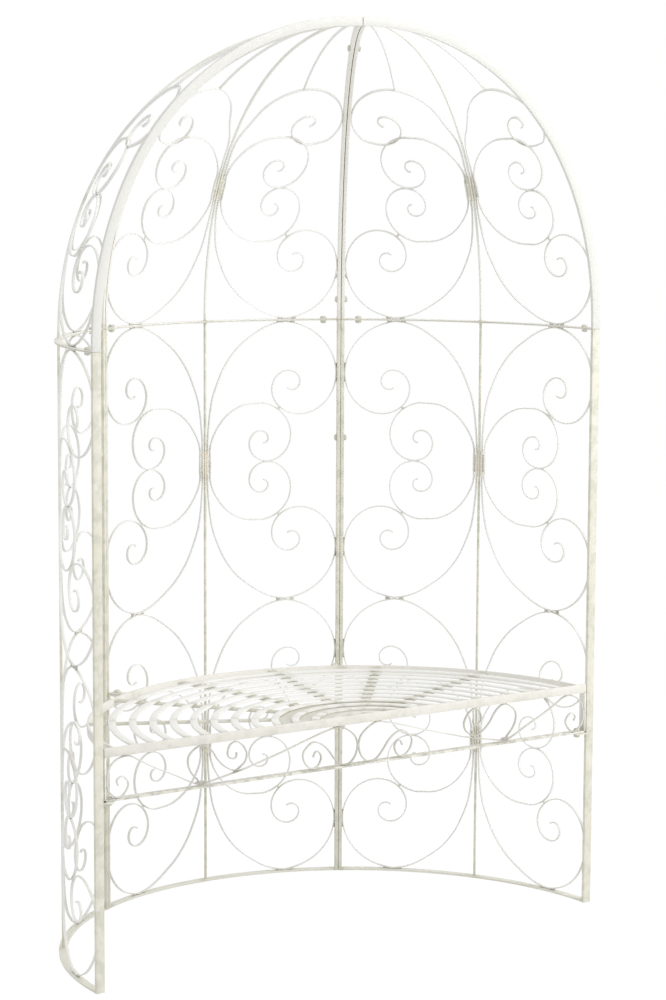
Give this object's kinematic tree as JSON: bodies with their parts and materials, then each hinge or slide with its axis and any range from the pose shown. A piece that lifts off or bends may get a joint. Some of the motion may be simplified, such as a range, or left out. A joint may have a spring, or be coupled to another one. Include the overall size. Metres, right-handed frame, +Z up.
{
  "type": "arbour seat",
  "caption": "Half-round garden arbour seat: bolted openwork panels with C-scrolls, a domed top, a slatted half-round bench and a scrolled apron under its front bar.",
  "frame": {"origin": "on the ground, under the middle of the object's box", "axes": "+Z up, +Y to the back of the seat, +X to the right seen from the open front"},
  "size_m": [1.2, 0.599, 1.8483],
  "materials": {
    "cream_paint": "antique cream paint, satin, with khaki and brown marks at welds and in seams",
    "bolt_paint": "the same cream paint, greyer and worn at the edges"
  },
  "bodies": {
    "root": {"right_panel_frame": "cream_paint", "right_dome_frame": "cream_paint", "right_panel_lower_scrolls_front": "cream_paint", "right_panel_upper_scrolls_front": "cream_paint", "right_dome_scrolls_front": "cream_paint", "right_panel_lower_scrolls_rear": "cream_paint", "right_panel_upper_scrolls_rear": "cream_paint", "right_dome_scrolls_rear": "cream_paint", "right_rail_bolt_1": "bolt_paint", "right_rail_bolt_2": "bolt_paint", "back_panel_frame": "cream_paint", "back_dome_frame": "cream_paint", "back_panel_lower_scrolls_right": "cream_paint", "back_panel_upper_scrolls_right": "cream_paint", "back_dome_scrolls_right": "cream_paint", "back_panel_lower_scrolls_left": "cream_paint", "back_panel_upper_scrolls_left": "cream_paint", "back_dome_scrolls_left": "cream_paint", "back_rail_bolt_1": "bolt_paint", "back_rail_bolt_2": "bolt_paint", "left_panel_frame": "cream_paint", "left_dome_frame": "cream_paint", "left_panel_lower_scrolls_rear": "cream_paint", "left_panel_upper_scrolls_rear": "cream_paint", "left_dome_scrolls_rear": "cream_paint", "left_panel_lower_scrolls_front": "cream_paint", "left_panel_upper_scrolls_front": "cream_paint", "left_dome_scrolls_front": "cream_paint", "left_rail_bolt_1": "bolt_paint", "left_rail_bolt_2": "bolt_paint", "right_rib_bolt_1": "bolt_paint", "right_rib_bolt_2": "bolt_paint", "right_dome_bolt_1": "bolt_paint", "right_dome_bolt_2": "bolt_paint", "left_rib_bolt_1": "bolt_paint", "left_rib_bolt_2": "bolt_paint", "left_dome_bolt_1": "bolt_paint", "left_dome_bolt_2": "bolt_paint", "seat_frame": "cream_paint", "seat_support_bars": "cream_paint", "seat_slat_1": "cream_paint", "seat_slat_2": "cream_paint", "seat_slat_3": "cream_paint", "seat_slat_4": "cream_paint", "seat_slat_5": "cream_paint", "seat_slat_6": "cream_paint", "seat_slat_7": "cream_paint", "seat_slat_8": "cream_paint", "seat_slat_9": "cream_paint", "seat_slat_10": "cream_paint", "seat_slat_11": "cream_paint", "seat_slat_12": "cream_paint", "seat_bolt_right": "bolt_paint", "seat_bolt_left": "bolt_paint", "apron_frame": "cream_paint", "apron_scrolls_right": "cream_paint", "apron_bolt_right": "bolt_paint", "apron_scrolls_left": "cream_paint", "apron_bolt_left": "bolt_paint"}
  },
  "joints": []
}
